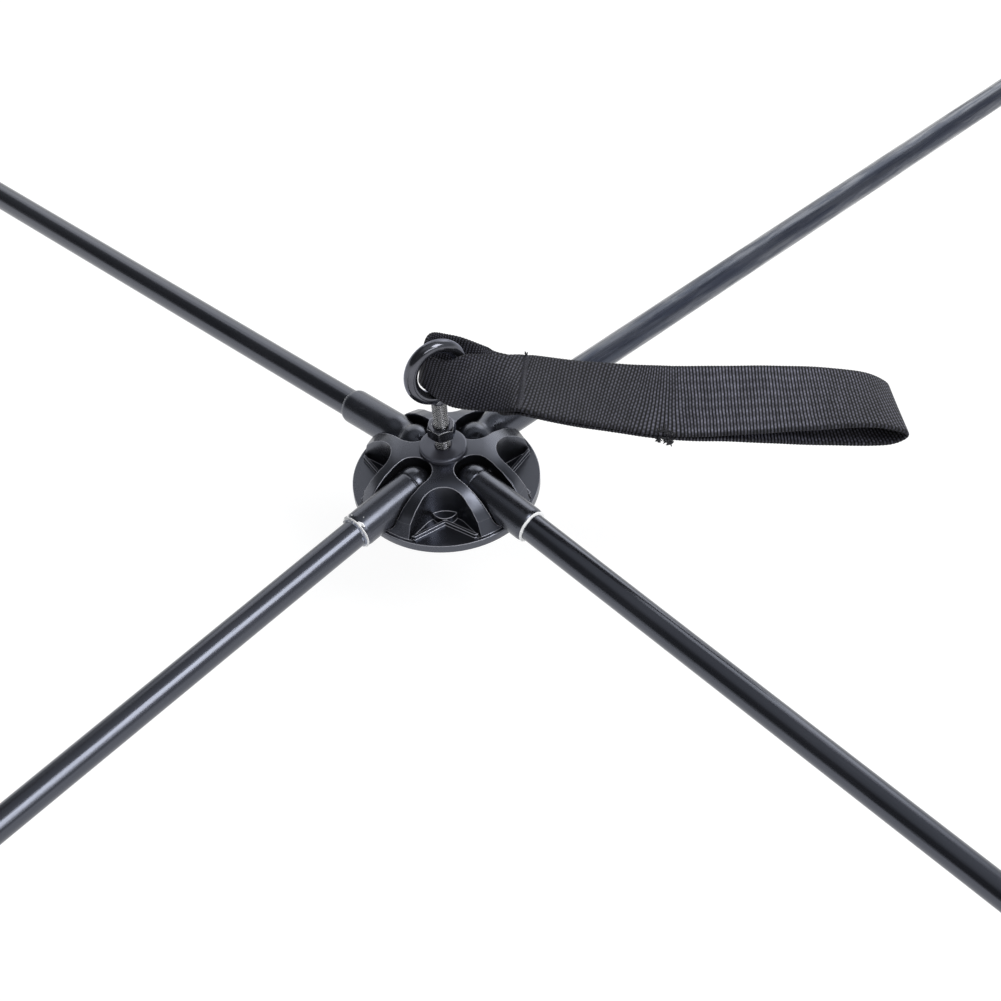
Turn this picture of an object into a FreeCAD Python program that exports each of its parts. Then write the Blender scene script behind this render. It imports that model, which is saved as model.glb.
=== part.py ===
"""Four-way folding hub of a pop-up frame, with its poles, eye bolt and webbing pull strap.

Millimetres, +Z up. The origin is the centre of the hub's flat underside. Each arm is drawn along +X
and turned to its own direction about Z. At rest each arm droops a little, as the opened frame stands.
"""
import FreeCAD, Part
import math
import os

Vec = FreeCAD.Vector
UP = Vec(0, 0, 1)

# Hub body, one moulding
flange_radius = 36.8
flange_thickness = 3.4
dome_foot_radius = 35.4
dome_rim_radius = 33.7
dome_rim_height = 10.0
shoulder_steps = 4
dome_flat_radius = 15.5
hub_height = 19.4

# Channels that the arms turn in
pivot_radius = 16.5
pivot_height = 11.8
channel_clearance = 0.5

# Arched pockets in the four lobes, each with a gable rib and a screw boss
pocket_apex = 20.4
pocket_arch_radius = 9.5
pocket_side_deg = 36.9
pocket_floor = 2.7
rib_apex = 24.9
rib_foot = 33.0
rib_foot_half_width = 12.6
rib_width = 1.2
rib_height = 5.0
rib_setback = 0.6
screw_circle_radius = 19.6
screw_boss_radius = 5.0
screw_boss_height = 5.8

# Base plate and its four screws
plate_radius = 30.8
plate_thickness = 1.8
plate_clearance = 0.2
screw_radius = 1.5
screw_head_radius = 2.8
screw_head_depth = 1.1
screw_length = 4.4
screw_lift = 0.05

# Pivot pins
pin_radius = 1.5
pin_length = 20.8
pin_running_clearance = 0.04
seat_end_clearance = 0.2
seat_side_clearance = 0.15

# Pole sockets
socket_radius = 7.0
knuckle_radius = 7.2
knuckle_steps = 2
knuckle_tip_deg = 22.0
socket_mouth_taper = 2.8
socket_mouth_radius = 6.1
joint_groove_width = 0.8
joint_groove_depth = 0.45
neck_radius = 6.0
neck_start = 4.0
pole_insertion = 20.0
shoulder_front = 2.4
shoulder_back = 11.0
neck_back = 6.2
reach_front = 30.3
reach_back = 37.0

# Poles, their end caps and the adhesive at the socket mouths
pole_radius = 5.6
pole_reach = 620.0
bond_gap = 0.05
bond_end_gap = 0.3
cap_length = 28.0
cap_wall = 1.2
cap_end = 4.0

# Eye bolt, nuts and washers
bolt_radius = 3.0
bolt_foot = 2.4
eye_wire_radius = 2.6
eye_half_width = 10.3
eye_half_height = 12.3
eye_pieces = 20
wire_sides = 12
neck_length = 1.6
eye_height = 59.4
eye_turn_deg = 26.0
hole_clearance = 0.2
thread_clearance = 0.02
washer_radius = 9.4
washer_thickness = 2.2
nut_across_flats = 10.0
nut_height = 5.0
nut_lift = 5.8
nut_turn_deg = 21.0
lock_nut_height = 4.6
lower_washer_radius = 6.0
lower_washer_thickness = 1.2
nut_well_radius = 8.4
web_under = 8.0

# Webbing pull strap
strap_width = 38.0
strap_thickness = 1.5
strap_height = 59.8
strap_layer_pitch = 1.65
strap_steps = 2
tack_height = 0.5
tack_width = 2.4
tack_inset = 1.5
tack_gap = 0.3

# Each arm's direction about Z, its droop at rest, both in degrees, and its socket's reach
ARMS = {
    "front_right": (-45.0, 5.8, reach_front),
    "back_right": (45.0, 4.35, reach_back),
    "back_left": (135.0, 5.35, reach_back),
    "front_left": (-135.0, 4.3, reach_front),
}
BOND_BEADS = {"front_right": (1.3, 0.75), "back_right": (0.5, 0.3), "back_left": (0.5, 0.3), "front_left": (2.4, 1.1)}


def box(x0, x1, y0, y1, z0, z1):
    return Part.makeBox(x1 - x0, y1 - y0, z1 - z0, Vec(x0, y0, z0))


def rod(radius, start, end):
    """A round bar between two points."""
    return Part.makeCylinder(radius, (end - start).Length, start, end - start)


def turned(shape, degrees, centre=Vec(0, 0, 0), axis=UP):
    copy = shape.copy()
    copy.rotate(centre, axis, degrees)
    return copy


def moved(shape, offset):
    copy = shape.copy()
    copy.translate(offset)
    return copy


def fused(shapes):
    return shapes[0].multiFuse(shapes[1:]).removeSplitter()


def lathe(points):
    """Solid turned about Z from a closed outline of radius and height."""
    outline = [Vec(radius, 0, height) for radius, height in points + points[:1]]
    return Part.Face(Part.makePolygon(outline)).revolve(Vec(0, 0, 0), UP, 360)


def skinned(rings, closed):
    """Solid of flat triangles over rings of points; a closed one joins its last ring to its first."""
    faces = []
    count = len(rings[0])
    for k in range(len(rings) if closed else len(rings) - 1):
        here, there = rings[k], rings[(k + 1) % len(rings)]
        for j in range(count):
            after = (j + 1) % count
            for corners in ((here[j], here[after], there[after]), (here[j], there[after], there[j])):
                faces.append(Part.Face(Part.makePolygon(list(corners) + [corners[0]])))
    if not closed:
        for ring in (rings[0], rings[-1]):
            faces.append(Part.Face(Part.makePolygon(ring + ring[:1])))
    shell = Part.makeShell(faces)
    shell.sewShape()
    solid = Part.makeSolid(shell)
    if solid.Volume < 0:
        solid.reverse()
    return solid


def in_arm(shape, name):
    """Carries a shape drawn from the pivot along a level arm to its drooped place on the hub."""
    direction, droop, reach = ARMS[name]
    drooped = turned(shape, droop, axis=Vec(0, 1, 0))
    return turned(moved(drooped, Vec(pivot_radius, 0, pivot_height)), direction)


# Hub body

def dome():
    """Flange and dome as one turned blank: flat top, stepped round shoulder, steep foot on the flange."""
    run = dome_rim_radius - dome_flat_radius
    drop = hub_height - dome_rim_height
    shoulder_radius = (run * run + drop * drop) / (2 * drop)
    shoulder = []
    for step in range(shoulder_steps + 1):
        angle = math.asin(run / shoulder_radius) * (1 - step / shoulder_steps)
        shoulder.append((dome_flat_radius + shoulder_radius * math.sin(angle),
                         hub_height - shoulder_radius * (1 - math.cos(angle))))
    return lathe([
        (0, 0), (flange_radius, 0), (flange_radius, flange_thickness),
        (dome_foot_radius, flange_thickness)] + shoulder + [(0, hub_height)])


def channel(droop):
    """Room for one arm: a round-ended slot open to the top, with a round trough along the drooped arm."""
    radius = socket_radius + channel_clearance
    reach = flange_radius + 6
    top = hub_height + 6
    fall = (reach - pivot_radius) * math.tan(math.radians(droop))
    side = Part.makePolygon([
        Vec(pivot_radius, -radius, pivot_height), Vec(reach, -radius, pivot_height - fall),
        Vec(reach, -radius, top), Vec(pivot_radius, -radius, top), Vec(pivot_radius, -radius, pivot_height)])
    slot = Part.Face(side).extrude(Vec(0, 2 * radius, 0))
    pivot = Vec(pivot_radius, 0, pivot_height)
    well = pivot_height - radius
    end = Part.makeCylinder(radius, top - well, Vec(pivot_radius, 0, well))
    trough = rod(radius, pivot, Vec(reach, 0, pivot_height - fall))
    return fused([slot, end, trough])


def pin_seat():
    """Slot from below that a pin is pushed up into, round at its top."""
    radius = pin_radius + pin_running_clearance
    half = pin_length / 2 + seat_end_clearance
    centre = Vec(pivot_radius, 0, pivot_height)
    crown = rod(radius, centre - Vec(0, half, 0), centre + Vec(0, half, 0))
    return fused([crown, box(pivot_radius - radius, pivot_radius + radius, -half, half, -1, pivot_height)])


def pocket():
    """Arch-shaped recess cut down into the outer face of one lobe."""
    side = math.radians(pocket_side_deg)
    centre = pocket_apex + pocket_arch_radius
    touch = Vec(centre - pocket_arch_radius * math.sin(side), pocket_arch_radius * math.cos(side), 0)
    outer = flange_radius + 4
    reach = touch.y + (outer - touch.x) * math.tan(side)
    corner = Vec(outer, reach, 0)
    arch = Part.Arc(Vec(touch.x, -touch.y, 0), Vec(pocket_apex, 0, 0), touch).toShape()
    edges = [
        arch, Part.LineSegment(touch, corner).toShape(),
        Part.LineSegment(corner, Vec(outer, -reach, 0)).toShape(),
        Part.LineSegment(Vec(outer, -reach, 0), Vec(touch.x, -touch.y, 0)).toShape()]
    return Part.Face(Part.Wire(edges)).extrude(Vec(0, 0, hub_height))


def gable_rib():
    """Two straight ribs that meet in a point, across the pocket's floor."""
    slope = math.atan2(rib_foot - rib_apex, rib_foot_half_width)
    half = rib_width / 2 / math.cos(slope)
    run = flange_radius - rib_apex
    reach = run / math.tan(slope)
    outline = [
        Vec(rib_apex - half, 0, 0), Vec(rib_apex - half + run, reach, 0), Vec(rib_apex + half + run, reach, 0),
        Vec(rib_apex + half, 0, 0), Vec(rib_apex + half + run, -reach, 0), Vec(rib_apex - half + run, -reach, 0),
        Vec(rib_apex - half, 0, 0)]
    return Part.Face(Part.makePolygon(outline)).extrude(Vec(0, 0, rib_height))


def pocket_cutters():
    """What is taken out of a lobe: all above the flange, and down to the deeper floor behind the ribs."""
    arch = pocket()
    over_flange = moved(arch, Vec(0, 0, flange_thickness))
    slope = math.atan2(rib_foot - rib_apex, rib_foot_half_width)
    reach = rib_foot_half_width * 2
    back = Part.Face(Part.makePolygon([
        Vec(0, -reach, 0), Vec(rib_apex + reach * math.tan(slope), -reach, 0), Vec(rib_apex, 0, 0),
        Vec(rib_apex + reach * math.tan(slope), reach, 0), Vec(0, reach, 0), Vec(0, -reach, 0)]))
    round_rim = Part.makeCylinder(dome_foot_radius, hub_height)
    well = moved(arch, Vec(0, 0, pocket_floor)).common(moved(back.extrude(Vec(0, 0, hub_height)), UP))
    return fused([over_flange, well.common(round_rim)])


def hub_body():
    blank = dome()
    for turn in range(4):
        blank = blank.cut(turned(pocket_cutters(), 90 * turn))
    inside = Part.makeCylinder(dome_foot_radius - rib_setback, rib_height)
    for turn in range(4):
        lobe = turned(pocket(), 90 * turn)
        ribs = turned(gable_rib(), 90 * turn).common(lobe).common(inside)
        boss = Part.makeCylinder(screw_boss_radius, screw_boss_height, Vec(screw_circle_radius, 0, 0))
        blank = blank.fuse(ribs).fuse(turned(boss, 90 * turn))
    for direction, droop, reach in ARMS.values():
        blank = blank.cut(turned(channel(droop), direction))
    cuts = [Part.makeCylinder(plate_radius + plate_clearance, plate_thickness + 1, Vec(0, 0, -1))]
    cuts.append(Part.makeCylinder(bolt_radius + hole_clearance, hub_height + 2, Vec(0, 0, -1)))
    cuts.append(Part.makeCylinder(nut_well_radius, web_under + 1, Vec(0, 0, -1)))
    for turn in range(4):
        cuts.append(turned(pin_seat(), 45 + 90 * turn))
        pilot = Part.makeCylinder(screw_radius, screw_length + seat_end_clearance + 1, Vec(screw_circle_radius, 0, -1))
        cuts.append(turned(pilot, 90 * turn))
    return blank.cut(fused(cuts)).removeSplitter()


# Base plate, screws and pins

def base_plate():
    """Disc that closes the hub, with four cradles that hold the pins up in their seats."""
    disc = Part.makeCylinder(plate_radius, plate_thickness)
    half_wide = pin_radius - seat_side_clearance / 2
    half_long = pin_length / 2
    inner = socket_radius + channel_clearance + seat_end_clearance
    floor = pivot_height - socket_radius - channel_clearance - seat_side_clearance
    pieces = [disc]
    for turn in range(4):
        low = box(pivot_radius - half_wide, pivot_radius + half_wide, -half_long, half_long, 0, floor)
        cradle = [low]
        for side in (-1, 1):
            y0, y1 = sorted((side * inner, side * half_long))
            top = pivot_height - pin_radius - pin_running_clearance
            cradle.append(box(pivot_radius - half_wide, pivot_radius + half_wide, y0, y1, 0, top))
        pieces.append(turned(fused(cradle), 45 + 90 * turn))
    plate = fused(pieces)
    cuts = []
    for turn in range(4):
        place = Vec(screw_circle_radius, 0, 0)
        head = Part.makeCylinder(screw_head_radius + hole_clearance, screw_head_depth, place)
        hole = Part.makeCylinder(screw_radius + hole_clearance, plate_thickness + 1, place)
        cuts.append(turned(fused([head, hole]), 90 * turn))
    return plate.cut(fused(cuts))


def base_screws():
    """Four flat-headed screws, sunk in the plate, up into the bosses of the pockets."""
    screws = []
    for turn in range(4):
        place = Vec(screw_circle_radius, 0, screw_lift)
        head = Part.makeCylinder(screw_head_radius, screw_head_depth - 2 * screw_lift, place)
        shank = Part.makeCylinder(screw_radius - thread_clearance, screw_length, place)
        screws.append(turned(fused([head, shank]), 90 * turn))
    return Part.makeCompound(screws)


def pivot_pin(name):
    half = pin_length / 2
    return in_arm(rod(pin_radius, Vec(0, -half, 0), Vec(0, half, 0)), name)


# Sockets, poles, adhesive and caps

def socket(name):
    """Round knuckle and barrel; a front one has a fine joint groove, a back one a tapered neck."""
    mouth = ARMS[name][2]
    bore = pole_radius + bond_gap
    straight = pin_radius + 2 * pin_running_clearance
    knuckle = []
    for step in range(knuckle_steps + 1):
        first = math.radians(knuckle_tip_deg)
        angle = first + (math.acos(straight / knuckle_radius) - first) * step / knuckle_steps
        knuckle.append((knuckle_radius * math.sin(angle), -knuckle_radius * math.cos(angle)))
    knuckle.insert(0, (0, knuckle[0][1]))
    band_radius = knuckle[-1][0]
    if mouth == reach_front:
        groove_start = shoulder_front - joint_groove_width
        groove_radius = socket_radius - joint_groove_depth
        root = [(band_radius, groove_start), (groove_radius, groove_start),
                (groove_radius, shoulder_front - joint_groove_depth), (socket_radius, shoulder_front)]
    else:
        root = [(band_radius, straight), (neck_radius, neck_start), (neck_radius, neck_back),
                (socket_radius, shoulder_back)]
    outline = knuckle + root + [
        (socket_radius, mouth - socket_mouth_taper), (socket_mouth_radius, mouth),
        (bore, mouth), (bore, mouth - pole_insertion), (0, mouth - pole_insertion)]
    barrel = turned(lathe(outline), 90, axis=Vec(0, 1, 0))
    side = Vec(0, 1.2 * knuckle_radius, 0)
    return in_arm(barrel.cut(rod(pin_radius + pin_running_clearance, -side, side)), name)


def pole(name):
    start = ARMS[name][2] - pole_insertion + bond_end_gap
    end = pole_reach - pivot_radius - cap_end - bond_end_gap
    return in_arm(rod(pole_radius, Vec(start, 0, 0), Vec(end, 0, 0)), name)


def adhesive(name):
    """Bead of adhesive squeezed out round the pole at the socket's mouth."""
    length, proud = BOND_BEADS[name]
    mouth = ARMS[name][2]
    inner = pole_radius + 0.01
    outline = [(inner, mouth), (inner + proud, mouth), (inner + proud, mouth + length), (inner, mouth + length)]
    return in_arm(turned(lathe(outline), 90, axis=Vec(0, 1, 0)), name)


def pole_cap(name):
    """Moulded cap over the pole's far end."""
    nose = pole_reach - pivot_radius
    bore = pole_radius + bond_gap
    outer = bore + cap_wall
    mouth = nose - cap_length
    outline = [
        (0, nose - cap_end), (bore, nose - cap_end), (bore, mouth), (outer, mouth),
        (outer, nose), (0, nose)]
    return in_arm(turned(lathe(outline), 90, axis=Vec(0, 1, 0)), name)


# Eye bolt and its hardware

def eye_frame(across, up, forward=0.0):
    """Point from the eye's centre: across in its own plane, up, and forward out of that plane."""
    turn = math.radians(eye_turn_deg)
    return Vec(across * math.cos(turn) + forward * math.sin(turn),
               across * math.sin(turn) - forward * math.cos(turn), eye_height + up)


def eye_bolt():
    """Threaded shank whose top is bent into an oval eye, drawn as short straight lengths of wire."""
    rings = []
    for k in range(eye_pieces):
        around = 2 * math.pi * k / eye_pieces
        middle = eye_frame(eye_half_width * math.cos(around), eye_half_height * math.sin(around))
        slope = Vec(eye_half_height * math.cos(around), eye_half_width * math.sin(around), 0).normalize()
        ring = []
        for j in range(wire_sides):
            turn = 2 * math.pi * j / wire_sides
            out = eye_wire_radius * math.cos(turn)
            ring.append(middle + eye_frame(slope.x * out, slope.y * out, eye_wire_radius * math.sin(turn))
                        - eye_frame(0, 0))
        rings.append(ring)
    shank_top = eye_height - eye_half_height + 0.4
    shank = rod(bolt_radius, Vec(0, 0, bolt_foot), Vec(0, 0, shank_top - neck_length))
    neck = Part.makeCone(bolt_radius, eye_wire_radius - 0.3, neck_length, Vec(0, 0, shank_top - neck_length))
    return fused([skinned(rings, True), shank, neck])


def hexagon_nut(height):
    corner = nut_across_flats / math.sqrt(3)
    outline = [Vec(corner * math.cos(math.radians(60 * k)), corner * math.sin(math.radians(60 * k)), 0) for k in range(7)]
    prism = Part.Face(Part.makePolygon(outline)).extrude(Vec(0, 0, height))
    return prism.cut(Part.makeCylinder(bolt_radius + thread_clearance, height + 2, Vec(0, 0, -1)))


def clamp_nut():
    foot = hub_height + washer_thickness + nut_lift
    return moved(turned(hexagon_nut(nut_height), nut_turn_deg), Vec(0, 0, foot))


def washer(radius, thickness):
    return Part.makeCylinder(radius, thickness).cut(Part.makeCylinder(bolt_radius + hole_clearance, thickness))


def clamp_washer():
    return moved(washer(washer_radius, washer_thickness), Vec(0, 0, hub_height))


def lower_washer():
    return moved(washer(lower_washer_radius, lower_washer_thickness), Vec(0, 0, web_under - lower_washer_thickness))


def lock_nut():
    foot = web_under - lower_washer_thickness - lock_nut_height
    return moved(hexagon_nut(lock_nut_height), Vec(0, 0, foot))


# Webbing pull strap

# Stations of the webbing, round its loop: edge nearer -Y and edge nearer +Y, from the eye's centre.
# The last number places a station on the upper (1) or lower (-1) of two layers sewn together.
# The stations are written for webbing as wide as this; it is gathered where it passes the eye.
STATION_WIDTH = 38.0
FREE_LOOP = [
    ((85.5, -28.0, -11.8), (88.5, 9.8, -12.2), 1),
    ((103.5, -28.2, -11.5), (106.6, 9.8, -12.4), 0),
    ((118.0, -28.2, -11.0), (121.6, 9.7, -13.0), 0),
    ((138.0, -28.1, -10.3), (141.0, 9.5, -14.5), 0),
    ((152.3, -28.0, -9.9), (155.8, 9.2, -16.8), 0),
    ((161.4, -28.0, -10.4), (163.5, 9.0, -19.2), 0),
    ((168.0, -27.9, -12.6), (168.0, 8.6, -21.8), 0),
    ((171.9, -27.8, -15.6), (170.0, 8.2, -24.6), 0),
    ((167.6, -27.9, -19.0), (166.0, 8.6, -27.2), 0),
    ((158.5, -28.0, -19.5), (158.0, 9.0, -26.4), 0),
    ((140.2, -28.1, -18.2), (142.0, 9.5, -21.5), 0),
    ((121.9, -28.2, -16.2), (123.5, 9.7, -17.4), 0),
    ((103.6, -28.2, -14.2), (106.6, 9.8, -14.9), 0),
    ((85.5, -28.0, -11.8), (88.5, 9.8, -12.2), -1),
]
SEWN = [
    ((64.2, -27.5, -7.1), (68.0, 10.1, -10.3)),
    ((44.2, -26.3, -2.6), (46.2, 11.2, -7.6)),
    ((30.6, -23.0, -1.0), (33.8, 14.0, -7.4)),
]
EYE_LOOP = [
    ((24.0, -16.5, -7.8), (23.5, 13.0, -3.8), 0),
    ((18.5, -5.5, -11.8), (19.8, 12.8, -1.0), 0),
    ((14.5, 3.5, -13.0), (16.5, 12.7, 1.2), 0),
    ((8.5, 10.0, -11.8), (9.5, 13.3, 4.5), 0),
    ((3.0, 9.5, -9.8), (4.0, 13.0, 6.7), 0),
    ((-4.6, 6.2, -8.0), (-4.4, 10.6, 8.3), 0),
    ((-6.8, 2.2, -8.6), (-5.4, 5.2, 7.2), 0),
    ((-3.4, -1.6, -6.8), (-3.2, 1.4, 6.7), 0),
    ((2.5, -5.5, -11.3), (4.5, -1.6, 6.7), 0),
    ((7.0, -8.5, -11.2), (9.3, -0.2, 7.2), 0),
    ((12.4, -12.5, -8.6), (14.3, 4.5, 3.8), 0),
    ((23.6, -18.5, -4.3), (23.8, 9.0, -1.5), 0),
]


def stations():
    """All stations in order, from a seam in the lower layer round the eye, out to the hand loop and back."""
    lower = [(near, far, -1) for near, far in SEWN]
    upper = [(near, far, 1) for near, far in reversed(SEWN)]
    return lower + EYE_LOOP + upper + FREE_LOOP + lower[:1]


def edge_curve(side):
    """Smooth curve through one edge of the stations, in the eye's place."""
    points = []
    for near, far, layer in stations():
        middle = (Vec(*near) + Vec(*far)) / 2
        reach = (Vec(*far) - Vec(*near)) / 2 * (strap_width / STATION_WIDTH)
        points.append(middle + reach * side + Vec(0, 0, strap_height + layer * strap_layer_pitch / 2))
    curve = Part.BSplineCurve()
    curve.interpolate(Points=points, Parameters=[float(k) for k in range(len(points))])
    return curve


def band_frame(curves, place):
    """Middle, half width, and the two unit vectors of heading and thickness at a place along the webbing."""
    near, far = [curve.value(place) for curve in curves]
    before = sum((curve.value(place - 0.02) for curve in curves), Vec())
    after = sum((curve.value(place + 0.02) for curve in curves), Vec())
    width = far - near
    face = (after - before).cross(width).normalize()
    heading = width.cross(face).normalize()
    return (near + far) / 2, width / 2, heading, face


def strap_rings():
    """Four corners of the webbing's section at even steps along it."""
    curves = [edge_curve(-1), edge_curve(1)]
    last = len(stations()) - 1
    rings = []
    for k in range(last * strap_steps + 1):
        place = min(max(k / strap_steps, 0.03), last - 0.03)
        middle, half, heading, face = band_frame(curves, place)
        rise = face * (strap_thickness / 2)
        rings.append([middle - half - rise, middle + half - rise, middle + half + rise, middle - half + rise])
    return rings


def pull_strap():
    """One band of webbing whose two ends butt in the lower sewn layer."""
    return skinned(strap_rings(), False)


def bar_tack(here, there, at_end, side):
    """Low bar of thread across the webbing between two of its sections, over it (1) or under it (-1)."""
    span = tack_width / ((there[0] - here[0]).Length + (there[1] - here[1]).Length) * 2
    first = 1 - span if at_end else 0
    ends = []
    for part in (first, first + span):
        corners = [start + (stop - start) * part for start, stop in zip(here, there)]
        rise = (corners[3] - corners[0]).normalize()
        over = (rise.z > 0) == (side > 0)
        near, far = (corners[3], corners[2]) if over else (corners[0], corners[1])
        out = rise if over else -rise
        inset = (far - near).normalize() * tack_inset
        foot = [near + inset + out * tack_gap, far - inset + out * tack_gap]
        ends.append(foot + [foot[1] + out * tack_height, foot[0] + out * tack_height])
    return skinned(ends, False)


def strap_stitching():
    """Bar tacks across the webbing, above the upper layer and below the lower one, at both ends of the seam."""
    rings = strap_rings()
    upper = len(SEWN) + len(EYE_LOOP)
    lower_end = len(stations()) - 2
    tacks = []
    for section, at_end, side in (
            (upper * strap_steps, False, 1), ((upper + len(SEWN)) * strap_steps - 1, True, 1),
            ((len(SEWN) - 1) * strap_steps - 1, True, -1), (lower_end * strap_steps, False, -1)):
        tacks.append(bar_tack(rings[section], rings[section + 1], at_end, side))
    return Part.makeCompound(tacks)


NODES = {
    "hub_body": hub_body,
    "hub_base_plate": base_plate,
    "base_screws": base_screws,
    "eye_bolt": eye_bolt,
    "clamp_nut": clamp_nut,
    "clamp_washer": clamp_washer,
    "lower_washer": lower_washer,
    "lock_nut": lock_nut,
    "pull_strap": pull_strap,
    "strap_stitching": strap_stitching,
}


def main():
    os.makedirs("parts", exist_ok=True)
    shapes = {name: make() for name, make in NODES.items()}
    for name in ARMS:
        shapes[name + "_pin"] = pivot_pin(name)
        shapes[name + "_socket"] = socket(name)
        shapes[name + "_pole"] = pole(name)
        shapes[name + "_adhesive"] = adhesive(name)
        shapes[name + "_pole_cap"] = pole_cap(name)
    for name, shape in shapes.items():
        if not shape.isValid():
            print("not valid:", name)
        shape.exportStep("parts/" + name + ".step")
        print("%-24s solids %d volume %.1f" % (name, len(shape.Solids), shape.Volume))


main()
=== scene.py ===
"""Four-way folding hub of a pop-up frame: finishes, smooth pieces, webbing, light and camera."""

import math
import random

import bpy
import numpy as np
from mathutils import Matrix, Vector


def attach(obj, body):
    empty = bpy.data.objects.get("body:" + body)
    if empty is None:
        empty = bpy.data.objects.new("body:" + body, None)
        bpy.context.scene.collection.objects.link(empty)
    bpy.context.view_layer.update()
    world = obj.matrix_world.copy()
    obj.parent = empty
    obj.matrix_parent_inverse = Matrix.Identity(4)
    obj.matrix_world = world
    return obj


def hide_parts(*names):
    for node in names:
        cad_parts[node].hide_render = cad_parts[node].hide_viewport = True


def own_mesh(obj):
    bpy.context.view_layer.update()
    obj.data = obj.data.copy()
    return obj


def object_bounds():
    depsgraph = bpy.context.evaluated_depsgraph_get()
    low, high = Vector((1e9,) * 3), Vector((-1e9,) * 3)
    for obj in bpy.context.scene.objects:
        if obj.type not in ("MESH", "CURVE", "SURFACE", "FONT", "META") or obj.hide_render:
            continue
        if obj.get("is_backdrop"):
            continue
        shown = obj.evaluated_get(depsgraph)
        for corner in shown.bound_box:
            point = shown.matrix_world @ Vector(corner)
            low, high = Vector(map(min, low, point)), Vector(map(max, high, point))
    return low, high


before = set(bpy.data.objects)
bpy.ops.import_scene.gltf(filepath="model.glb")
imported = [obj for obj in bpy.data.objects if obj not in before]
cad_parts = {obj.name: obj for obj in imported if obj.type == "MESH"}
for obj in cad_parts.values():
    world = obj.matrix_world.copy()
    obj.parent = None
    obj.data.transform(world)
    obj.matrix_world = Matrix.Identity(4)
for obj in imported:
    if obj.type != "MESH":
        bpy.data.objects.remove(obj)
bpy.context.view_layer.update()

MM = 0.001

# Values shared with the part's source, in millimetres and degrees
FLANGE_THICKNESS = 3.4
DOME_FLAT_RADIUS = 15.5
SHOULDER_RADIUS = 22.3
HUB_HEIGHT = 19.4
PIVOT_RADIUS = 16.5
PIVOT_HEIGHT = 11.8
PIN_BORE = 1.54
SOCKET_RADIUS = 7.0
KNUCKLE_RADIUS = 7.2
NECK_RADIUS = 6.0
POLE_RADIUS = 5.6
POLE_BORE = 5.65
POLE_INSERTION = 20.0
CAP_NOSE = 603.5
CAP_LENGTH = 28.0
CAP_END = 4.0
CAP_RADIUS = 6.85
BOLT_RADIUS = 3.0
BOLT_FOOT = 2.4
EYE_HEIGHT = 59.4
EYE_HALF_WIDTH = 10.3
EYE_HALF_HEIGHT = 12.3
EYE_WIRE = 2.6
EYE_TURN = 26.0
WASHER_RADIUS = 9.4
WASHER_THICKNESS = 2.2
WASHER_HOLE = 3.2
NUT_FLATS = 10.0
NUT_HEIGHT = 5.0
NUT_FOOT = 27.4
NUT_TURN = 21.0
STRAP_HEIGHT = 59.8
STRAP_WIDTH = 38.0
STRAP_THICKNESS = 1.5
LAYER_PITCH = 1.65

# Each arm's azimuth and droop in degrees, and how far its socket reaches from the pivot
ARMS = {
    "front_right": (-45.0, 5.8, 30.3),
    "back_right": (45.0, 4.35, 37.0),
    "back_left": (135.0, 5.35, 37.0),
    "front_left": (-135.0, 4.3, 30.3),
}

# Values of the finer pieces and of the floor, in millimetres
MOUTH_RADIUS = 6.5
MOUTH_TAPER = 1.3
WIDE_ROUND = 1.7
CROWN_RADIUS = 130.0
THREAD_PITCH = 1.0
RIB_PITCH = 1.22
WARP_PITCH = 2.1
WEFT_SWAY = 4.6
SELVAGE = (17.0, 18.3)
BAND_SPACING = 0.305
TACK_LIFT = (0.10, -0.04)
FLOOR_HALF = 60000.0

# Shares of one: the hub's steepest lean, the tacks' pinch, the floor's glow
STEEPEST_LEAN = 0.87
TACK_PINCH = (0.9, 0.25)
FLOOR_GLOW = 0.855


def arm_frame(name):
    """Pivot, axis, side and up of an arm at rest, in millimetres."""
    azimuth, droop = math.radians(ARMS[name][0]), math.radians(ARMS[name][1])
    outward = Vector((math.cos(azimuth), math.sin(azimuth), 0.0))
    axis = outward * math.cos(droop) - Vector((0, 0, math.sin(droop)))
    side = Vector((-math.sin(azimuth), math.cos(azimuth), 0.0))
    return outward * PIVOT_RADIUS + Vector((0, 0, PIVOT_HEIGHT)), axis, side, axis.cross(side)


class Number:
    """A socket that takes part in arithmetic: each operation adds one Math node."""

    def __init__(self, nodes, socket):
        self.nodes = nodes
        self.socket = socket

    def __add__(self, other):
        return self.nodes.math("ADD", self, other)

    def __sub__(self, other):
        return self.nodes.math("SUBTRACT", self, other)

    def __rsub__(self, other):
        return self.nodes.math("SUBTRACT", other, self)

    def __mul__(self, other):
        return self.nodes.math("MULTIPLY", self, other)

    def __truediv__(self, other):
        return self.nodes.math("DIVIDE", self, other)

    def __rtruediv__(self, other):
        return self.nodes.math("DIVIDE", other, self)

    def __pow__(self, other):
        return self.nodes.math("POWER", self, other)

    __radd__ = __add__
    __rmul__ = __mul__


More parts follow.
